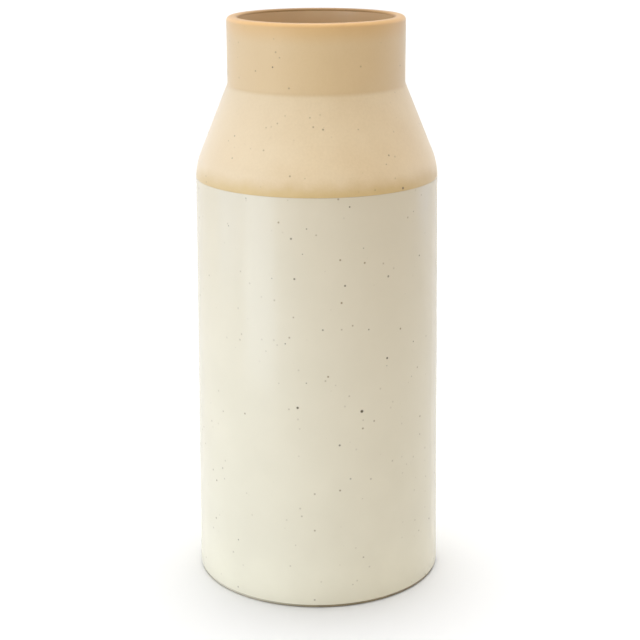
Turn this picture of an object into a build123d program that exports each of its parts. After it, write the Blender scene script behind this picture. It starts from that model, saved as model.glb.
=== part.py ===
from build123d import *
import os

# Stoneware bottle vase in millimetres, turned about the Z axis and standing on the floor at zero height.
# Four clay sections are luted together in stepped laps: base slab, body wall, shoulder cone, neck collar.
# A cream glaze coats the body outside, and a clear liner glaze makes the inside hold water.
# One outline drives everything: each face of the wall and coats is that outline moved towards the axis.

# Outline of the finished vase, over the glaze, from the foot up
BODY_HEIGHT = 224.0
SHOULDER_RISE = 42.0
NECK_RISE = 34.0
BODY_RADIUS = 63.1
FOOT_FLARE = 2.8
NECK_RADIUS = 45.9
CORNER_ROUND = 30.0
CREASE_ROUND = 3.0

# Clay wall and the two coats fired onto it
WALL = 5.3
GLAZE = 0.4
LINER = 0.4

# Laps where one section stands on the next, with slip between a skirt and its gallery
LAP_DEPTH = 5.0
LAP_SHARE = 0.5
SLIP_GAP = 0.15
GLAZE_LINE_DROP = 6.0
COLLAR_SEAT_RISE = 4.5

# Floor of the vase, the spigot that centres the wall on it, and its foot ring
BASE_RIM = 6.0
SPIGOT_RISE = 2.0
FOOT_RING_WIDTH = 7.0
RECESS_DEPTH = 2.5
RECESS_ROUND = 1.5
FOOT_ROUND = 0.8

# Lip, and where the two coats stop
LIP_OUTER_SHARE = 0.4
LIP_INNER_SHARE = 0.2
LIP_REVEAL = 1.4
LINER_COVE = 3.0
GLAZE_FOOT_LINE = 1.5

# Length by which an outline runs past the heights that it is cut at
OVERRUN = 5.0

# Heights and the foot, worked out from the sizes above
FOOT_RADIUS = BODY_RADIUS + FOOT_FLARE
CREASE_HEIGHT = BODY_HEIGHT + SHOULDER_RISE
HEIGHT = CREASE_HEIGHT + NECK_RISE
SHOULDER_SEAT = BODY_HEIGHT - GLAZE_LINE_DROP
COLLAR_SEAT = CREASE_HEIGHT + COLLAR_SEAT_RISE
FLOOR_HEIGHT = BASE_RIM + SPIGOT_RISE


def towards_axis(start, end):
    """Unit normal of a run of the outline, on the side of the axis."""
    along = (end - start).normalized()
    return Vector(-along.Y, along.X)


def outline(inset):
    """The vase's outline from below the floor to above the lip, moved towards the axis by inset."""
    foot = Vector(FOOT_RADIUS, 0)
    corner = Vector(BODY_RADIUS, BODY_HEIGHT)
    crease = Vector(NECK_RADIUS, CREASE_HEIGHT)
    lip = Vector(NECK_RADIUS, HEIGHT)
    body_normal = towards_axis(foot, corner)
    cone_normal = towards_axis(corner, crease)
    neck_normal = towards_axis(crease, lip)
    corner_miter = inset / (1 + body_normal.dot(cone_normal))
    crease_miter = inset / (1 + cone_normal.dot(neck_normal))
    below = foot + (foot - corner).normalized() * OVERRUN
    above = lip + (lip - crease).normalized() * OVERRUN
    return FilletPolyline(
        below + body_normal * inset,
        corner + (body_normal + cone_normal) * corner_miter,
        crease + (cone_normal + neck_normal) * crease_miter,
        above + neck_normal * inset,
        radius=[CORNER_ROUND - inset, CREASE_ROUND + inset],
    )


def core(inset, low, high):
    """Half section of all that lies inside the moved outline, between two heights."""
    side = outline(inset)
    bottom, top = side @ 0, side @ 1
    axis = Polyline(bottom, (0, bottom.Y), (0, top.Y), top)
    slab = Pos(0, low) * Rectangle(FOOT_RADIUS + OVERRUN, high - low, align=(Align.MIN, Align.MIN))
    return make_face(side.edges() + axis.edges()) & slab


def layer(outer, inner, low, high):
    """Half section of a wall or coat between two moved outlines, between two heights."""
    return core(outer, low, high) - core(inner, low, high)


def corner_at(section, radius, height):
    """The section's corner nearest to a radius and a height."""
    return section.vertices().sort_by_distance((radius, height))[0]


def turned(section):
    """The solid that a half section sweeps round the vase's axis."""
    return revolve(Plane.XZ * section, Axis.Z)


def lap_face():
    """Inset of the face where a skirt laps against the wall around it."""
    return GLAZE + (WALL - GLAZE) * LAP_SHARE


def skirt(seat):
    """Inner half of the wall that a section hangs down inside the one below its seat."""
    return layer(lap_face(), WALL, seat - LAP_DEPTH, seat)


def gallery(seat):
    """Step cut inside the top of a section, which takes the next one's skirt and its slip."""
    return layer(lap_face() - SLIP_GAP, WALL, seat - LAP_DEPTH - SLIP_GAP, seat)


def base_slab():
    """Floor disc with a spigot inside the wall, a trimmed foot ring and a recessed underside."""
    disc = core(GLAZE, 0, BASE_RIM) + core(WALL + SLIP_GAP, BASE_RIM, FLOOR_HEIGHT)
    disc = fillet(corner_at(disc, FOOT_RADIUS, 0), FOOT_ROUND)
    recess_radius = FOOT_RADIUS - GLAZE - FOOT_RING_WIDTH
    recess = Rectangle(recess_radius, RECESS_DEPTH, align=(Align.MIN, Align.MIN))
    disc -= fillet(corner_at(recess, recess_radius, RECESS_DEPTH), RECESS_ROUND)
    return turned(disc)


def body_wall():
    """Clay cylinder under the glaze, with a gallery at its top for the shoulder."""
    return turned(layer(GLAZE, WALL, BASE_RIM, SHOULDER_SEAT) - gallery(SHOULDER_SEAT))


def shoulder_cone():
    """Bare clay cone, whose lower edge overhangs the wall by the glaze and leaves a crisp glaze line."""
    cone = layer(0, WALL, SHOULDER_SEAT, COLLAR_SEAT) - gallery(COLLAR_SEAT)
    return turned(cone + skirt(SHOULDER_SEAT))


def neck_collar():
    """Bare clay neck with a lip rounded fully outside and eased inside."""
    collar = layer(0, WALL, COLLAR_SEAT, HEIGHT) + skirt(COLLAR_SEAT)
    collar = fillet(corner_at(collar, NECK_RADIUS, HEIGHT), WALL * LIP_OUTER_SHARE)
    collar = fillet(corner_at(collar, NECK_RADIUS - WALL, HEIGHT), WALL * LIP_INNER_SHARE)
    return turned(collar)


def body_glaze():
    """Cream coat over the wall and the base's edge, from just above the floor to the shoulder's ledge."""
    return turned(layer(0, GLAZE, GLAZE_FOOT_LINE, SHOULDER_SEAT))


def liner_glaze():
    """Clear coat over the floor and the inside of the wall, pooled in a cove where they meet."""
    film_top = FLOOR_HEIGHT + LINER
    film = layer(WALL, WALL + LINER, FLOOR_HEIGHT, HEIGHT - LIP_REVEAL) + core(WALL, FLOOR_HEIGHT, film_top)
    film = fillet(corner_at(film, FOOT_RADIUS - WALL - LINER, film_top), LINER_COVE)
    return turned(film)


PIECES = {
    "base_slab": base_slab,
    "body_wall": body_wall,
    "shoulder_cone": shoulder_cone,
    "neck_collar": neck_collar,
    "body_glaze": body_glaze,
    "liner_glaze": liner_glaze,
}

os.makedirs("parts", exist_ok=True)
for name, make in PIECES.items():
    piece = make()
    export_step(piece, f"parts/{name}.step")
    print(name, "volume", round(piece.volume), "mm3")
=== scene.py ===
# %% [markdown]
# # A stoneware bottle vase
# The vase is a tall turned pot: a cream glazed body, a bare clay shoulder and neck, and a thin line of
# bare clay at the floor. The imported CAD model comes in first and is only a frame: it says where
# everything goes. What the eye sees is modelled on top of it, piece by piece, in metres and in the same
# place. A potter thinks in millimetres, so sizes are written in them, and MM turns them into metres.

# %% Load the CAD model as the frame
import bmesh
import bpy
import math
from mathutils import Matrix, Vector


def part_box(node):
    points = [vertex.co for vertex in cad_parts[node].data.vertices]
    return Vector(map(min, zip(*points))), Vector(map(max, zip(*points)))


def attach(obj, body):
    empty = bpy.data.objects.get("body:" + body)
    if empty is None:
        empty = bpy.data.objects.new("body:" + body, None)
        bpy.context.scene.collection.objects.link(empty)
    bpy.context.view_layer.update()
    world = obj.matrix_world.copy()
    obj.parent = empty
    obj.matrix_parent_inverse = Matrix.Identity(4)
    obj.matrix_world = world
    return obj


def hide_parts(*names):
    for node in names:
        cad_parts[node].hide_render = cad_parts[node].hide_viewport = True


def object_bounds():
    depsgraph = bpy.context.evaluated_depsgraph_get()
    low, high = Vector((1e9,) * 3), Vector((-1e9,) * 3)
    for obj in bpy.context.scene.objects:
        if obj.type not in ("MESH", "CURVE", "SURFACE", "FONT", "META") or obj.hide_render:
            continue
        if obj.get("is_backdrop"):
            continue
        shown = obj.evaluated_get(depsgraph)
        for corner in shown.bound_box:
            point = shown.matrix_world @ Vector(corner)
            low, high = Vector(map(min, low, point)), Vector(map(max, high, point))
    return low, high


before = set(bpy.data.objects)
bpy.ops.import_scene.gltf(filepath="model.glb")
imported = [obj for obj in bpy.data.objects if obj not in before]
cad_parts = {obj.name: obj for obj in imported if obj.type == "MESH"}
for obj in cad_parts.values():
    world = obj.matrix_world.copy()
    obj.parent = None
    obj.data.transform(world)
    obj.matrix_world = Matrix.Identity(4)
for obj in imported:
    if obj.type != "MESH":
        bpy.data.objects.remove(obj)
cad_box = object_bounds()
MM = 0.001
for node in sorted(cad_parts):
    low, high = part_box(node)
    print(node, "from", round(low.z / MM, 2), "to", round(high.z / MM, 2), "mm")

# %% [markdown]
# ## The line of the pot
# A potter draws half of the pot as one line. This one has only four points: the foot, the corner where
# the shoulder turns in, the crease where the neck starts, and the lip. What the CAD nodes show is read
# from them. The corner and the crease are rounded away there, so they are typed in. The glaze stops just
# above the floor, so the foot is wider than the glaze by what the side flares out below it.

# %% Draw the outside line
glaze_low, glaze_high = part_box("body_glaze")
glaze_foot = glaze_low.z / MM
glaze_line = glaze_high.z / MM
flare_below_glaze = 0.019
foot = Vector((glaze_high.x / MM + flare_below_glaze, 0))
corner = Vector((63.1, 224))
crease = Vector((45.9, 266))
lip = Vector((45.9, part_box("neck_collar")[1].z / MM))
for point in (foot, corner, crease, lip):
    print("the line goes through radius", round(point.x, 2), "height", round(point.y, 2), "mm")

# %% [markdown]
# ## The lines inside it
# Wall and coats keep their thickness round the bends, so the inner face of the wall is the same line
# moved inwards. A straight run moves along its normal. A bend slides along its mitre, as in the corner of
# a picture frame. With these lines at hand, every piece below is only a list of points.

# %% Move the line inwards
wall = 5.3
coat = 0.4


def inward(start, end):
    """Unit normal of a run of the line, on the side of the pot's axis."""
    along = (end - start).normalized()
    return Vector((-along.y, along.x))


def moved_bend(before, bend, after, inset):
    """Where a bend lies on the line that runs inside this one by inset."""
    first = inward(before, bend)
    second = inward(bend, after)
    return bend + (first + second) * (inset / (1 + first.dot(second)))


def body_radius(height, inset=0.0):
    """Radius of the straight side of the body at a height, on the line moved in by inset."""
    side = inward(foot, corner)
    share = (height - side.y * inset) / corner.y
    return foot.x + (corner.x - foot.x) * share + side.x * inset


inner_corner = moved_bend(foot, corner, crease, wall)
inner_crease = moved_bend(corner, crease, lip, wall)
film_corner = moved_bend(foot, corner, crease, wall + coat)
film_crease = moved_bend(corner, crease, lip, wall + coat)
print("radius at the glaze line", round(body_radius(glaze_line), 2), "mm")
print("radius of the inner corner", round(inner_corner.x, 2), "mm")

# %% [markdown]
# ## Throwing a wall
# On the wheel a wall is pulled up from a ring. In Blender the same shape could be a curve on a Screw
# modifier or a Spin, but extruding a circle ring by ring keeps every ring at hand for the next step.
# Merging doubles at the end closes the section onto its first ring, or a floor onto its middle.

# %% Pull up a turned piece
ROUND_THE_POT = 192
SAME_PLACE = 0.01


def pick_ring(piece, radius, height):
    """Select only the edges of the ring at a radius and a height in millimetres."""
    bpy.ops.mesh.select_all(action="DESELECT")
    mesh = bmesh.from_edit_mesh(piece.data)
    for edge in mesh.edges:
        misses = [abs(v.co.xy.length / MM - radius) + abs(v.co.z / MM - height) for v in edge.verts]
        edge.select_set(max(misses) < SAME_PLACE)
    bmesh.update_edit_mesh(piece.data)


def throw(name, rings, floor=False):
    """Pull up a turned piece through rings of (radius, height) in millimetres, and stay in edit mode."""
    bpy.ops.object.select_all(action="DESELECT")
    radius, height = rings[0]
    bpy.ops.mesh.primitive_circle_add(
        vertices=ROUND_THE_POT,
        radius=radius * MM,
        fill_type="TRIFAN" if floor else "NOTHING",
        location=(0, 0, height * MM),
    )
    piece = bpy.context.object
    piece.name = name
    piece.data.name = name
    bpy.ops.object.transform_apply(location=True, rotation=True, scale=True)
    bpy.ops.object.mode_set(mode="EDIT")
    bpy.context.tool_settings.mesh_select_mode = (False, True, False)
    pick_ring(piece, radius, height)
    for (near, low), (far, high) in zip(rings, rings[1:]):
        bpy.ops.mesh.extrude_region_move(TRANSFORM_OT_translate={"value": (0, 0, (high - low) * MM)})
        grow = far / near
        bpy.ops.transform.resize(value=(grow, grow, 1), center_override=(0, 0, high * MM))
    bpy.ops.mesh.select_all(action="SELECT")
    bpy.ops.mesh.remove_doubles(threshold=1e-6)
    bpy.ops.mesh.normals_make_consistent(inside=False)
    return piece


print("each ring has", ROUND_THE_POT, "points,", 360 / ROUND_THE_POT, "degrees apart")

# %% [markdown]
# ## Rounding and firing
# A wet sponge rounds every edge of the clay. Bevel does that here, to the very radius that the CAD has,
# if it starts at radius x tan(half the turn) from the edge. A fired piece then leaves edit mode and is
# shaded smooth, except across its few true edges.

# %% Round a bend and finish a piece
TRUE_EDGE = math.radians(30)


def round_ring(piece, before, bend, after, radius, steps):
    """Round the ring at a bend of the section to a radius, between the runs from before and to after."""
    turn = (Vector(bend) - Vector(before)).angle(Vector(after) - Vector(bend))
    pick_ring(piece, *bend)
    offset = radius * math.tan(turn / 2) * MM
    bpy.ops.mesh.bevel(offset=offset, segments=steps, affect="EDGES", profile=0.5, clamp_overlap=False)


def fire(piece):
    """Leave edit mode and smooth the faces, keeping the true edges sharp."""
    bpy.ops.object.mode_set(mode="OBJECT")
    bpy.ops.object.shade_smooth_by_angle(angle=TRUE_EDGE)
    size = [round(side / MM, 2) for side in piece.dimensions]
    print(piece.name, len(piece.data.polygons), "faces,", size, "mm")


print("edges that turn by more than", round(math.degrees(TRUE_EDGE)), "degrees stay sharp")

# %% [markdown]
# ## Shoulder and neck
# The bare clay top is one skin on the real pot, with no joint to see between the cone and the collar, so
# one piece stands for both CAD sections. It runs up the outside, over the lip, down the inside and along
# the hidden skirt that centres it in the body. Six bends are then rounded: corner and crease, each
# outside and inside, the thumb-round outside of the lip and its eased inside.

# %% Throw the shoulder and neck
corner_round = 30
crease_round = 3
lip_round = wall * 0.4
lip_ease = wall * 0.2
skirt_length = 5
skirt_foot = glaze_line - skirt_length
skirt_face = coat + (wall - coat) / 2
seat = (body_radius(glaze_line), glaze_line)
bare_rings = [
    seat,
    tuple(corner),
    tuple(crease),
    tuple(lip),
    (lip.x - wall, lip.y),
    tuple(inner_crease),
    tuple(inner_corner),
    (body_radius(skirt_foot, wall), skirt_foot),
    (body_radius(skirt_foot, skirt_face), skirt_foot),
    (body_radius(glaze_line, skirt_face), glaze_line),
    seat,
]
bare_top = throw("shoulder_and_neck", bare_rings)
round_ring(bare_top, *bare_rings[0:3], radius=corner_round, steps=14)
round_ring(bare_top, *bare_rings[1:4], radius=crease_round, steps=6)
round_ring(bare_top, *bare_rings[2:5], radius=lip_round, steps=8)
round_ring(bare_top, *bare_rings[3:6], radius=lip_ease, steps=5)
round_ring(bare_top, *bare_rings[4:7], radius=crease_round + wall, steps=8)
round_ring(bare_top, *bare_rings[5:8], radius=corner_round - wall, steps=8)
fire(bare_top)

# %% [markdown]
# ## The cream glaze
# Glaze goes on as a wet coat and melts into a skin under half a millimetre thick. Its edges draw back
# into small rolls, and it gathers a little above the foot. A Solidify modifier on a plain cylinder would
# give the thickness but not the rolls, so the coat is thrown as a closed section with a ring every few
# millimetres.

# %% Throw the glaze coat
ring_step = 6.0
gathered = 0.12
gather_height = 6
foot_roll = 0.32
top_roll = 0.22
steps_up = round((glaze_line - glaze_foot) / ring_step)
glaze_rings = [(body_radius(glaze_foot, coat), glaze_foot), (body_radius(glaze_foot), glaze_foot)]
for index in range(1, steps_up):
    height = glaze_foot + (glaze_line - glaze_foot) * index / steps_up
    bulge = gathered * math.exp(-height / gather_height)
    glaze_rings.append((body_radius(height) + bulge, height))
glaze_rings.append(seat)
glaze_rings.append((body_radius(glaze_line, coat), glaze_line))
glaze_rings.append(glaze_rings[0])
glaze = throw("cream_glaze_coat", glaze_rings)
round_ring(glaze, *glaze_rings[0:3], radius=foot_roll, steps=5)
round_ring(glaze, *glaze_rings[steps_up:steps_up + 3], radius=top_roll, steps=4)
fire(glaze)

# %% [markdown]
# ## The waver of the glaze
# Thrown clay is never quite even, and the glaze follows it. A bump map would only tilt the light, so a
# Displace modifier really moves the outside of the coat, by a tenth of a millimetre or so, and
# reflections waver as they do on a real pot. A vertex group keeps the inner face and both edges still, so
# the coat stays on the clay.

# %% Let the coat follow the uneven clay
lump_size = 26
waver_height = 0.3
still_edge = 12
skin_depth = 0.05
waver = bpy.data.textures.new("uneven_clay", type="CLOUDS")
waver.noise_scale = lump_size * MM
waver.noise_depth = 1
loose = glaze.vertex_groups.new(name="free_to_waver")
for vertex in glaze.data.vertices:
    height = vertex.co.z / MM
    outer = vertex.co.xy.length / MM > body_radius(height) - skin_depth
    from_edges = min(height - glaze_foot, glaze_line - height)
    loose.add([vertex.index], min(1, from_edges / still_edge) if outer else 0, "REPLACE")
displace = glaze.modifiers.new("waver", "DISPLACE")
displace.texture = waver
displace.texture_coords = "LOCAL"
displace.vertex_group = loose.name
displace.strength = waver_height * MM
displace.mid_level = 0.5
bpy.context.view_layer.objects.active = glaze
bpy.ops.object.modifier_apply(modifier=displace.name)
spread = [v.co.xy.length / MM - body_radius(v.co.z / MM) for v in glaze.data.vertices]
print("glaze stands between", round(min(spread), 2), "and", round(max(spread), 2), "mm off the line")

# %% [markdown]
# ## The liner
# Stoneware drinks water, so the inside is lined with clear glaze. It shows only in the mouth, where it
# thins to a feather edge just under the lip, but it runs down to the floor and pools in a cove there. Its
# section starts on the hidden underside with a filled circle and ends in the middle of the floor.

# %% Throw the liner
liner_low, liner_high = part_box("liner_glaze")
floor_height = liner_low.z / MM
film_top = liner_high.z / MM
film_floor = floor_height + coat
feather_length = 6
feather_edge = 0.03
cove_round = 3
liner_rings = [
    (body_radius(floor_height, wall), floor_height),
    tuple(inner_corner),
    tuple(inner_crease),
    (lip.x - wall, film_top),
    (lip.x - wall - feather_edge, film_top),
    (lip.x - wall - coat, film_top - feather_length),
    tuple(film_crease),
    tuple(film_corner),
    (body_radius(film_floor, wall + coat), film_floor),
    (0, film_floor),
]
liner = throw("clear_liner", liner_rings, floor=True)
round_ring(liner, *liner_rings[0:3], radius=corner_round - wall, steps=8)
round_ring(liner, *liner_rings[1:4], radius=crease_round + wall, steps=8)
round_ring(liner, *liner_rings[5:8], radius=crease_round + wall + coat, steps=8)
round_ring(liner, *liner_rings[6:9], radius=corner_round - wall - coat, steps=8)
round_ring(liner, *liner_rings[7:10], radius=cove_round, steps=6)
fire(liner)

# %% [markdown]
# ## The base
# The floor slab shows as the thin brown line under the glaze. Turned over, it has a foot ring with
# sponged edges and a shallow recess that a trimming tool left in faint rings. The recess starts as a
# filled circle and the rings of the ridge are pulled out from it, so the tool marks are real steps in the
# mesh.

# %% Throw the base
recess_radius = 58.5
recess_depth = 2.5
recess_cove = 1.5
ridge_inside = 0.6
ridge_outside = 0.8
mark_count = 9
first_mark = 6
mark_width = 2.8
mark_depth = 0.12
slip_gap = 0.15
rim_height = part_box("body_wall")[0].z / MM
spigot = body_radius(rim_height, wall + slip_gap)
tool_marks = []
for index in range(mark_count):
    start = first_mark + 2 * mark_width * index
    tool_marks.append((start, recess_depth))
    tool_marks.append((start + mark_width / 2, recess_depth + mark_depth))
    tool_marks.append((start + mark_width, recess_depth))
base_rings = tool_marks + [
    (recess_radius, recess_depth),
    (recess_radius, 0),
    (body_radius(0, coat), 0),
    (body_radius(rim_height, coat), rim_height),
    (spigot, rim_height),
    (spigot, floor_height),
    (0, floor_height),
]
base = throw("base_with_foot_ring", base_rings, floor=True)
recess_edge = len(tool_marks)
round_ring(base, *base_rings[recess_edge - 1:recess_edge + 2], radius=recess_cove, steps=5)
round_ring(base, *base_rings[recess_edge:recess_edge + 3], radius=ridge_inside, steps=4)
round_ring(base, *base_rings[recess_edge + 1:recess_edge + 4], radius=ridge_outside, steps=5)
fire(base)

# %% [markdown]
# ## Making a finish
# Every finish is a Principled shader fed by patterns on Object coordinates, so a pattern has a size in
# millimetres and stays where it is on the pot. One helper turns a colour as seen on a screen into the
# linear numbers that light works in. One adds a node with its settings and its links, and one starts a
# finish. Layers of colour go on with Mix nodes, whose sockets for colours only have numbers, so these get
# names: the share of the new layer, the colour under it, the colour over it, and the mixed result.

# %% Tools for finishes
SHARE, UNDER, OVER, MIXED = 0, 6, 7, 2


def tint(code):
    """Linear colour for an sRGB hex code."""
    channels = [int(code[i:i + 2], 16) / 255 for i in (1, 3, 5)]
    return [c / 12.92 if c <= 0.04045 else ((c + 0.055) / 1.055) ** 2.4 for c in channels] + [1]


def add(owner, kind, inputs=None, **settings):
    """Add a node to a material or a world, set it up, and link or set its inputs."""
    node = owner.node_tree.nodes.new(kind)
    for name, value in settings.items():
        setattr(node, name, value)
    for name, value in (inputs or {}).items():
        if isinstance(value, bpy.types.NodeSocket):
            owner.node_tree.links.new(value, node.inputs[name])
        else:
            node.inputs[name].default_value = value
    return node


def new_finish(name):
    """A material with its Principled shader and the place on the pot, in metres."""
    material = bpy.data.materials.new(name)
    material.use_nodes = True
    shader = material.node_tree.nodes["Principled BSDF"]
    place = add(material, "ShaderNodeTexCoord").outputs["Object"]
    return material, shader, place


print("cream #ebe2c9 in linear light is", [round(c, 3) for c in tint("#ebe2c9")])

# %% [markdown]
# ## Bare sandy stoneware
# Unglazed stoneware is fired clay with sand in it. To the eye it is dull and a little grainy, with a soft
# bloom towards its edges, so it is rough and has some sheen. One flat colour would look like plastic. Two
# patterns vary it: clouds of 22 mm, from the mixing of the clay, and the sand. Real grains are under half
# a millimetre, too fine to show, so they are drawn at 1.2 mm, and they give the surface its tooth as
# well.

# %% Mix the sandy clay
clay, shader, place = new_finish("sandy_stoneware_bare")
cloud = add(
    clay, "ShaderNodeTexNoise", {"Vector": place, "Scale": 1 / (22 * MM), "Detail": 3}
).outputs["Fac"]
cloud_share = add(
    clay, "ShaderNodeMapRange", {"Value": cloud, "From Min": 0.3, "From Max": 0.7}
).outputs[0]
sand = add(
    clay, "ShaderNodeMix",
    {SHARE: cloud_share, UNDER: tint("#e3c79c"), OVER: tint("#e7cda4")}, data_type="RGBA",
).outputs[MIXED]
grain = add(
    clay, "ShaderNodeTexNoise", {"Vector": place, "Scale": 1 / (1.2 * MM), "Detail": 2}
).outputs["Fac"]
grain_share = add(
    clay, "ShaderNodeMapRange", {"Value": grain, "From Min": 0.35, "From Max": 0.65, "To Max": 0.07}
).outputs[0]
sand = add(
    clay, "ShaderNodeMix", {SHARE: grain_share, UNDER: sand, OVER: tint("#b9996b")}, data_type="RGBA"
).outputs[MIXED]
tooth = add(clay, "ShaderNodeBump", {"Height": grain, "Strength": 0.15, "Distance": 0.15 * MM}).outputs[0]
clay.node_tree.links.new(tooth, shader.inputs["Normal"])
shader.inputs["Roughness"].default_value = 0.55
shader.inputs["Sheen Weight"].default_value = 0.4
shader.inputs["Sheen Roughness"].default_value = 0.5
shader.inputs["IOR"].default_value = 1.5
print(clay.name, "starts with", len(clay.node_tree.nodes), "nodes")

# %% [markdown]
# ### Toast from the kiln, with painted light and shade
# Flame and smoke colour bare clay. The left flank is painted greyer, which is mapped from the X
# coordinate: that is the painted tone of the cool light from the left, not smoke. The neck is warmer than
# the shoulder, with an almost sharp edge at the crease, and it is painted darker there as well: partly
# toast and partly painted shade, as the upright neck gets less of the top light than the shoulder. It
# warms further towards the mouth and on the lip. Those follow the height, so one loop mixes them: a row
# says where a toast begins and where it is full, in millimetres, its largest share and its colour.

# %% Paint the left flank's light tone and the neck's shade, and toast the neck, the mouth and the lip
spot = add(clay, "ShaderNodeSeparateXYZ", {"Vector": place})
height = spot.outputs["Z"]
# Painted light: the left flank is greyer where the cool light from the left falls.
painted_left_light_tone = add(
    clay, "ShaderNodeMapRange",
    {"Value": spot.outputs["X"], "From Min": 0, "From Max": -60 * MM, "To Max": 0.5},
).outputs[0]
sand = add(
    clay, "ShaderNodeMix", {SHARE: painted_left_light_tone, UNDER: sand, OVER: tint("#d4bc9a")}, data_type="RGBA"
).outputs[MIXED]
toasts_and_neck_shade = [
    # The neck row is partly toast and partly painted shade: the upright neck gets less top light than the
    # shoulder.
    ("neck", 263.8, 266.4, 0.62, "#cda972"),
    ("mouth", 288, 299, 0.5, "#d6a055"),
    ("lip", 297.6, 299.2, 0.8, "#e8b672"),
]
for name, begins, full, most, colour in toasts_and_neck_shade:
    toast_and_shade = add(
        clay, "ShaderNodeMapRange",
        {"Value": height, "From Min": begins * MM, "From Max": full * MM, "To Max": most},
        interpolation_type="SMOOTHSTEP",
    ).outputs[0]
    sand = add(
        clay, "ShaderNodeMix", {SHARE: toast_and_shade, UNDER: sand, OVER: tint(colour)}, data_type="RGBA"
    ).outputs[MIXED]
    print(name, "toasted from", begins, "to", full, "mm")
lip_toast = toast_and_shade

# %% [markdown]
# The lip isn't coloured alike all round. Its back is browner: that is the lip's own toast share times a
# ramp along Y. Its inner edge, where the liner starts, is toasted browner as well: that follows the
# distance from the axis, which is the length of the place with its height taken out.

# %% Brown the back and toast the inner edge of the lip
back = add(
    clay, "ShaderNodeMapRange",
    {"Value": spot.outputs["Y"], "From Min": 10 * MM, "From Max": 35 * MM, "To Max": 0.7},
).outputs[0]
browner_lip_back = add(clay, "ShaderNodeMath", {0: lip_toast, 1: back}, operation="MULTIPLY").outputs[0]
sand = add(
    clay, "ShaderNodeMix", {SHARE: browner_lip_back, UNDER: sand, OVER: tint("#8a6840")}, data_type="RGBA"
).outputs[MIXED]
level_place = add(clay, "ShaderNodeVectorMath", {0: place, 1: (1, 1, 0)}, operation="MULTIPLY").outputs[0]
from_axis = add(clay, "ShaderNodeVectorMath", {0: level_place}, operation="LENGTH").outputs["Value"]
inner_edge = add(
    clay, "ShaderNodeMapRange",
    {"Value": from_axis, "From Min": 42.8 * MM, "From Max": 41.6 * MM, "To Max": 0.12},
    interpolation_type="SMOOTHSTEP",
).outputs[0]
sand = add(
    clay, "ShaderNodeMix", {SHARE: inner_edge, UNDER: sand, OVER: tint("#b58a5c")}, data_type="RGBA"
).outputs[MIXED]
print(clay.name, "now has", len(clay.node_tree.nodes), "nodes")

# %% [markdown]
# Along the glaze line, vapour from the glaze leaves a band of ochre on the shoulder. Its upper edge is
# ragged, so a noise of 9 mm lifts the height by up to 5 mm before the height is mapped.

# %% Toast the shoulder along the glaze line
noise = add(
    clay, "ShaderNodeTexNoise", {"Vector": place, "Scale": 1 / (9 * MM), "Detail": 3}
).outputs["Fac"]
ragged = add(
    clay, "ShaderNodeMath", {0: noise, 1: 5 * MM, 2: height}, operation="MULTIPLY_ADD"
).outputs[0]
ochre_band = add(
    clay, "ShaderNodeMapRange",
    {"Value": ragged, "From Min": 230 * MM, "From Max": 220.5 * MM, "To Max": 0.78},
    interpolation_type="SMOOTHSTEP",
).outputs[0]
sand = add(
    clay, "ShaderNodeMix", {SHARE: ochre_band, UNDER: sand, OVER: tint("#cdaa68")}, data_type="RGBA"
).outputs[MIXED]
print(clay.name, "now has", len(clay.node_tree.nodes), "nodes")

# %% [markdown]
# ### Iron specks
# Iron in the clay melts into brown specks, in the bare clay and up through the glaze. Small ones are
# scattered by a Voronoi pattern, whose cells also give each speck its own darkness. Those that stand out
# on this pot are set one by one, as small balls in space that the surface cuts through, so they need no
# UV map.

# %% Tools for iron specks
SPECK_SPACING = 6
SCATTERED_HEART = 0.04
SET_HEART = 0.35


def scatter_iron(material, place, colour, stain, reach, most):
    """Stain a colour with scattered specks that end at a reach, given as a share of their spacing."""
    iron = add(material, "ShaderNodeTexVoronoi", {"Vector": place, "Scale": 1 / (SPECK_SPACING * MM)})
    dot = add(
        material, "ShaderNodeMapRange",
        {"Value": iron.outputs["Distance"], "From Min": reach, "From Max": SCATTERED_HEART},
    ).outputs[0]
    dark = add(material, "ShaderNodeSeparateColor", {"Color": iron.outputs["Color"]}).outputs["Red"]
    share = add(material, "ShaderNodeMath", {0: dot, 1: dark}, operation="MULTIPLY").outputs[0]
    share = add(material, "ShaderNodeMath", {0: share, 1: most}, operation="MULTIPLY").outputs[0]
    return add(
        material, "ShaderNodeMix", {SHARE: share, UNDER: colour, OVER: tint(stain)}, data_type="RGBA"
    ).outputs[MIXED]


def set_iron(material, place, colour, stain, specks):
    """Stain a colour with single specks, each (angle from the front, radius, height, size, darkness)."""
    share = 0
    for angle, radius, height, size, dark in specks:
        turn = math.radians(angle)
        middle = [radius * math.sin(turn) * MM, -radius * math.cos(turn) * MM, height * MM]
        away = add(
            material, "ShaderNodeVectorMath", {0: place, 1: middle}, operation="DISTANCE"
        ).outputs["Value"]
        dot = add(
            material, "ShaderNodeMapRange",
            {"Value": away, "From Min": size * MM, "From Max": SET_HEART * size * MM, "To Max": dark},
            interpolation_type="SMOOTHSTEP",
        ).outputs[0]
        share = add(material, "ShaderNodeMath", {0: dot, 1: share}, operation="MAXIMUM").outputs[0]
    return add(
        material, "ShaderNodeMix", {SHARE: share, UNDER: colour, OVER: tint(stain)}, data_type="RGBA"
    ).outputs[MIXED]


print("scattered specks lie about", SPECK_SPACING, "mm apart")

# %% [markdown]
# On the bare clay few specks stand out. A row gives the angle from the front in degrees, radius, height
# and size in millimetres, and how dark the speck is.

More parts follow.
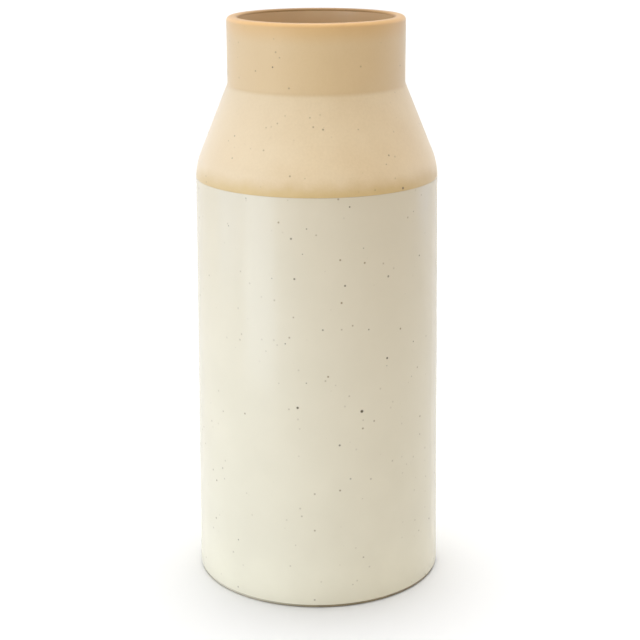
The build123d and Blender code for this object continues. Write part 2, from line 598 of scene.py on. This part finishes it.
# %% Speckle the clay
clay_specks = [
    (3.4, 52.5, 249.8, 0.7, 0.59),
    (-45.4, 59.0, 234.0, 0.65, 0.45),
    (-27.8, 45.9, 278.7, 0.6, 0.91),
    (-48.2, 54.8, 244.3, 0.6, 0.59),
    (-5.4, 61.3, 227.3, 0.6, 0.39),
    (-3.7, 50.3, 255.3, 0.55, 0.45),
    (34.9, 59.8, 231.9, 0.5, 0.45),
    (22.7, 52.8, 249.2, 0.5, 0.39),
    (42.6, 63.2, 219.4, 0.9, 0.95),
]
sand = scatter_iron(clay, place, sand, "#7a5a3a", reach=0.11, most=0.7)
sand = set_iron(clay, place, sand, "#6b5334", clay_specks)
clay.node_tree.links.new(sand, shader.inputs["Base Color"])
print(clay.name, "is done with", len(clay.node_tree.nodes), "nodes and", len(clay_specks), "set specks")

# %% [markdown]
# ## Cream glaze
# This is a glossy, slightly milky stoneware glaze. Near its top edge the coat is thin and lets the tan
# clay through. Lower down it is thicker and creamier. Just above the foot, where the coat gathers, it is
# painted lighter still: that is painted light, which makes up for the shade near the foot. Both are
# mapped from the height. Clouds of 30 mm tell of uneven dipping, and a faint bump of 5 mm is the orange
# peel that softens reflections in such a glaze.

# %% Mix the cream glaze
cream, shader, place = new_finish("glossy_cream_glaze")
height = add(cream, "ShaderNodeSeparateXYZ", {"Vector": place}).outputs["Z"]
thin = add(
    cream, "ShaderNodeMapRange", {"Value": height, "From Min": 20 * MM, "From Max": 218 * MM}
).outputs[0]
milk = add(
    cream, "ShaderNodeMix",
    {SHARE: thin, UNDER: tint("#ebe2c9"), OVER: tint("#d8c9ad")}, data_type="RGBA",
).outputs[MIXED]
# Painted light: the glaze is lightened over its lowest 40 mm against the shade near the foot.
gather_and_painted_light = add(
    cream, "ShaderNodeMapRange",
    {"Value": height, "From Min": 40 * MM, "From Max": 4 * MM, "To Max": 0.6},
    interpolation_type="SMOOTHSTEP",
).outputs[0]
milk = add(
    cream, "ShaderNodeMix", {SHARE: gather_and_painted_light, UNDER: milk, OVER: tint("#f9f0d5")}, data_type="RGBA"
).outputs[MIXED]
cloud = add(
    cream, "ShaderNodeTexNoise", {"Vector": place, "Scale": 1 / (30 * MM), "Detail": 3}
).outputs["Fac"]
cloud_share = add(
    cream, "ShaderNodeMapRange", {"Value": cloud, "From Min": 0.35, "From Max": 0.7, "To Max": 0.15}
).outputs[0]
milk = add(
    cream, "ShaderNodeMix", {SHARE: cloud_share, UNDER: milk, OVER: tint("#cfc4a9")}, data_type="RGBA"
).outputs[MIXED]
peel = add(
    cream, "ShaderNodeTexNoise", {"Vector": place, "Scale": 1 / (5 * MM), "Detail": 1}
).outputs["Fac"]
skin = add(cream, "ShaderNodeBump", {"Height": peel, "Strength": 0.2, "Distance": 0.1 * MM}).outputs[0]
cream.node_tree.links.new(skin, shader.inputs["Normal"])
shader.inputs["Roughness"].default_value = 0.24
shader.inputs["IOR"].default_value = 1.52
print(cream.name, "starts with", len(cream.node_tree.nodes), "nodes")

# %% [markdown]
# Through the glaze, iron bleeds as soft brown specks, and those that stand out are a dark olive brown. A
# row gives the angle from the front, the height, the size and the darkness. The radius comes from the
# line of the pot.

# %% Speckle the glaze
glaze_specks = [
    (20.2, 107.1, 1.15, 1.0),
    (-9.2, 110.3, 0.9, 0.98),
    (33.2, 133.3, 0.8, 0.98),
    (9.7, 90.0, 0.75, 0.78),
    (33.9, 175.9, 0.85, 0.65),
    (-10.3, 177.3, 0.75, 0.78),
    (12.4, 173.6, 0.75, 0.78),
    (-11.7, 197.6, 0.75, 0.72),
    (54.7, 182.6, 0.6, 0.78),
    (2.3, 151.3, 0.7, 0.59),
    (14.6, 213.2, 0.6, 0.78),
    (50.0, 138.2, 0.6, 0.65),
    (23.6, 149.9, 0.6, 0.65),
    (14.7, 71.3, 0.7, 0.45),
    (-40.3, 31.9, 0.65, 0.52),
    (-33.7, 216.0, 0.6, 0.39),
    (-14.7, 143.7, 0.55, 0.65),
    (-4.7, 202.7, 0.55, 0.6),
    (-44.4, 200.5, 0.55, 0.52),
    (-5.2, 123.5, 0.55, 0.5),
    (-6.6, 190.0, 0.5, 0.5),
    (49.8, 206.4, 0.55, 0.45),
    (21.1, 192.0, 0.5, 0.45),
    (33.0, 129.3, 0.5, 0.42),
    (48.8, 119.7, 0.5, 0.42),
    (-20.8, 176.9, 0.5, 0.4),
]
on_body = [(angle, body_radius(up), up, size, dark) for angle, up, size, dark in glaze_specks]
milk = scatter_iron(cream, place, milk, "#866a42", reach=0.12, most=0.85)
milk = set_iron(cream, place, milk, "#5c5038", on_body)
cream.node_tree.links.new(milk, shader.inputs["Base Color"])
print(cream.name, "is done with", len(cream.node_tree.nodes), "nodes and", len(on_body), "set specks")

# %% [markdown]
# ## Clear liner glaze
# Inside, a clear glaze lies over the sandy clay and makes it look wet: warmer, richer and glossy. Little
# of it shows, so clouds of 14 mm are pattern enough.

# %% Mix the liner
wet, shader, place = new_finish("clear_glaze_over_sandy_clay")
cloud = add(
    wet, "ShaderNodeTexNoise", {"Vector": place, "Scale": 1 / (14 * MM), "Detail": 3}
).outputs["Fac"]
cloud_share = add(
    wet, "ShaderNodeMapRange", {"Value": cloud, "From Min": 0.3, "From Max": 0.7}
).outputs[0]
warm = add(
    wet, "ShaderNodeMix",
    {SHARE: cloud_share, UNDER: tint("#f6d2a2"), OVER: tint("#f9d8a9")}, data_type="RGBA",
).outputs[MIXED]
wet.node_tree.links.new(warm, shader.inputs["Base Color"])
shader.inputs["Roughness"].default_value = 0.25
shader.inputs["IOR"].default_value = 1.5
print(wet.name, "is done with", len(wet.node_tree.nodes), "nodes")

# %% [markdown]
# ## Toasted foot clay, with painted light and shade
# The bare clay under the glaze is the same body, toasted browner by the kiln shelf. Its dark brown is
# also partly painted contact shade, where the foot meets the floor. The line is painted paler on the
# left, which is mapped from the X coordinate: that is painted light from the lamps on the left.

# %% Mix the foot clay
toasted, shader, place = new_finish("foot_clay_with_painted_light_and_shade")
cloud = add(
    toasted, "ShaderNodeTexNoise", {"Vector": place, "Scale": 1 / (9 * MM), "Detail": 4}
).outputs["Fac"]
cloud_share = add(
    toasted, "ShaderNodeMapRange", {"Value": cloud, "From Min": 0.3, "From Max": 0.7}
).outputs[0]
# The dark brown is partly toast and partly painted contact shade.
foot_brown_shade_and_light = add(
    toasted, "ShaderNodeMix",
    {SHARE: cloud_share, UNDER: tint("#94866a"), OVER: tint("#a69678")}, data_type="RGBA",
).outputs[MIXED]
sideways = add(toasted, "ShaderNodeSeparateXYZ", {"Vector": place}).outputs["X"]
# Painted light: the foot line is made paler on the left, where the lamps light it.
painted_light_on_left = add(
    toasted, "ShaderNodeMapRange",
    {"Value": sideways, "From Min": 10 * MM, "From Max": -55 * MM, "To Max": 0.75},
    interpolation_type="SMOOTHSTEP",
).outputs[0]
foot_brown_shade_and_light = add(
    toasted, "ShaderNodeMix", {SHARE: painted_light_on_left, UNDER: foot_brown_shade_and_light, OVER: tint("#e6dcc4")}, data_type="RGBA"
).outputs[MIXED]
grain = add(toasted, "ShaderNodeTexNoise", {"Vector": place, "Scale": 1 / (1.2 * MM)}).outputs["Fac"]
tooth = add(
    toasted, "ShaderNodeBump", {"Height": grain, "Strength": 0.4, "Distance": 0.2 * MM}
).outputs[0]
toasted.node_tree.links.new(foot_brown_shade_and_light, shader.inputs["Base Color"])
toasted.node_tree.links.new(tooth, shader.inputs["Normal"])
shader.inputs["Roughness"].default_value = 0.75
print(toasted.name, "is done with", len(toasted.node_tree.nodes), "nodes")

# %% [markdown]
# ## Dressing the frame
# Each piece gets its finish, rides on the one body of the vase, and takes the place of the CAD nodes that
# it stands for. The clay wall between the two coats is never seen, so its CAD node stays and only gets
# its clay.

# %% Put the pieces on the frame
dressed = [
    (bare_top, clay, "bare_clay", ["shoulder_cone", "neck_collar"]),
    (glaze, cream, "cream_glaze", ["body_glaze"]),
    (liner, wet, "liner_glaze", ["liner_glaze"]),
    (base, toasted, "bare_clay", ["base_slab"]),
]
for piece, finish, slot, nodes in dressed:
    piece.data.materials.clear()
    piece.data.materials.append(finish)
    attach(piece, "root")
    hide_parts(*nodes)
    print(piece.name, "wears", finish.name)
hidden_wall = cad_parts["body_wall"]
hidden_wall.data.materials.clear()
hidden_wall.data.materials.append(clay)
print(hidden_wall.name, "keeps its CAD shape and wears", clay.name)

# %% [markdown]
# ## Camera
# The photo looks slightly down on the vase through a short telephoto lens. Distance, height and tilt were
# worked out from how round the rim, the crease, the glaze line and the foot look at their heights.

# %% Place the camera
camera_distance = 0.8049
camera_height = 0.3731
looks_down = 16.29
bpy.ops.object.camera_add(location=(0, -camera_distance, camera_height))
camera = bpy.context.object
pan = Matrix.Rotation(math.radians(-0.092), 3, "Z")
tilt = Matrix.Rotation(math.radians(90 - looks_down), 3, "X")
roll = Matrix.Rotation(math.radians(-0.27), 3, "Z")
camera.rotation_euler = (pan @ tilt @ roll).to_euler()
camera.data.lens = 87.39
camera.data.sensor_width = 36
bpy.context.scene.camera = camera
print("camera turned to", [round(math.degrees(a), 2) for a in camera.rotation_euler])

# %% [markdown]
# ## Floor
# The vase stands on white paper that is lit until it burns out. A paper floor could be a curved sweep,
# but the camera looks down and never sees the horizon, so a wide plane does. Paper has no gloss, so its
# specular is off.

# %% Lay the floor
floor_width = 40
bpy.ops.object.select_all(action="DESELECT")
bpy.ops.mesh.primitive_plane_add(size=floor_width, location=(0, 0, 0))
ground = bpy.context.object
ground.name = "studio_floor"
paper = bpy.data.materials.new("white_shooting_table")
paper.use_nodes = True
sheet = paper.node_tree.nodes["Principled BSDF"]
sheet.inputs["Base Color"].default_value = tint("#f4f4f4")
sheet.inputs["Roughness"].default_value = 0.9
sheet.inputs["Specular IOR Level"].default_value = 0.0
ground.data.materials.append(paper)
ground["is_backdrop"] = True
print("floor", [round(s, 1) for s in ground.dimensions], "m")

# %% [markdown]
# ## Light
# The shading says how the studio was lit. The floor fades to white all round, and the shadow lies only
# close to the front of the foot. So the vase stands in a light tent that is a little brighter behind,
# with a narrow light straight above, tipped slightly back. The tent is the world, whose strength follows
# the direction that light comes from: the Y coordinate gives front and behind, and a high power of a dot
# product the narrow light.

# %% Hang the tent and its top light
tent_in_front = 0.455
tent_behind = 0.62
top_light = (0, 0.105, 0.995)
top_light_focus = 30
top_light_strength = 11.0
world = bpy.data.worlds.new("light_tent")
world.use_nodes = True
tent = world.node_tree.nodes["Background"]
tent.inputs["Color"].default_value = (1, 1, 1, 1)
towards = add(world, "ShaderNodeTexCoord").outputs["Generated"]
sides = add(world, "ShaderNodeSeparateXYZ", {"Vector": towards})
cloth = add(
    world, "ShaderNodeMapRange",
    {"Value": sides.outputs["Y"], "To Min": tent_in_front, "To Max": tent_behind},
).outputs[0]
above = add(
    world, "ShaderNodeVectorMath", {0: towards, 1: top_light}, operation="DOT_PRODUCT"
).outputs["Value"]
above = add(world, "ShaderNodeMath", {0: above, 1: 0}, operation="MAXIMUM").outputs[0]
above = add(world, "ShaderNodeMath", {0: above, 1: top_light_focus}, operation="POWER").outputs[0]
strength = add(
    world, "ShaderNodeMath", {0: above, 1: top_light_strength, 2: cloth}, operation="MULTIPLY_ADD"
).outputs[0]
print("tent", tent_in_front, "in front,", tent_behind, "behind,", top_light_strength, "more above")

# %% [markdown]
# The left of the body is brighter than the right down to the foot, so a low glow comes from the left as
# well. It is a band along the horizon, brightest to the left, and it is added to the tent. The Standard
# view transform then leaves colours as they are mixed, as in a product photo.

# %% Add the low glow from the left
glow_band = 0.15
glow_strength = 1.5
level = add(world, "ShaderNodeMath", {0: sides.outputs["Z"]}, operation="ABSOLUTE").outputs[0]
band = add(
    world, "ShaderNodeMapRange", {"Value": level, "From Max": glow_band, "To Min": 1, "To Max": 0}
).outputs[0]
left = add(
    world, "ShaderNodeMapRange", {"Value": sides.outputs["X"], "From Max": -1, "To Max": glow_strength}
).outputs[0]
strength = add(
    world, "ShaderNodeMath", {0: band, 1: left, 2: strength}, operation="MULTIPLY_ADD"
).outputs[0]
world.node_tree.links.new(strength, tent.inputs["Strength"])
bpy.context.scene.world = world
bpy.context.scene.view_settings.view_transform = "Standard"
print("glow of", glow_strength, "from the left, in", len(world.node_tree.nodes), "nodes of light")

# %% [markdown]
# ## Softbox and cards
# Softboxes are area lights: the size of the light in the glaze is the size of the lamp. The one at the
# front left makes the bright streak, and a dim scrim beside it softens the streak's right edge. The
# camera looks down, so a reflection runs downwards from the glaze to the floor, and both have to stand
# close to the pot to show as far down as they do. A bluish card further left and another at the back
# right keep the two rims clear and cool, as daylight from a window would. Lamps are hidden from the
# camera, or other views would show them. A photographer would hang black flags under the lamps, so that
# they don't wash out the shadow at the foot. Light linking does the same: the floor goes into a
# collection that the lamps leave out. A row gives the place, the direction it faces, width and height in
# metres, the power in watts and the colour.

# %% Place the softbox and its cards
lamps = [
    ("left_softbox", (-0.2902, -0.2243, 0.215), (0.657, 0.752), (0.2, 0.37), 0.53, "#cae2ff"),
    ("left_scrim", (-0.1605, -0.3145, 0.215), (0.41, 0.912), (0.12, 0.37), 0.06, "#cae2ff"),
    ("left_card", (-0.744, -0.05, 0.18), (1, 0), (0.388, 0.36), 0.46, "#8fc0ff"),
    ("right_card", (0.833, 0.442, 0.4), (-0.85, -0.49), (0.347, 0.8), 0.6, "#6fb0ff"),
]
flagged = bpy.data.collections.new("kept_from_the_lamps")
flagged.objects.link(ground)
flagged.collection_objects[0].light_linking.link_state = "EXCLUDE"
for name, at, facing, (wide, tall), power, colour in lamps:
    bpy.ops.object.light_add(type="AREA", location=at)
    lamp = bpy.context.object
    lamp.name = name
    lamp.rotation_euler = Vector((*facing, 0)).to_track_quat("-Z", "Y").to_euler()
    lamp.data.shape = "RECTANGLE"
    lamp.data.size = wide
    lamp.data.size_y = tall
    lamp.data.energy = power
    lamp.data.color = tint(colour)[:3]
    lamp.light_linking.receiver_collection = flagged
    lamp.visible_camera = False
    print(name, power, "W, turned to", [round(math.degrees(a)) for a in lamp.rotation_euler])

# %% Compare the boxes and finish
sizes = {"cad": [list(c) for c in cad_box], "visual": [list(c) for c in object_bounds()]}
for name, (low, high) in sizes.items():
    print(name, "box", [round((b - a) / MM, 2) for a, b in zip(low, high)], "mm")
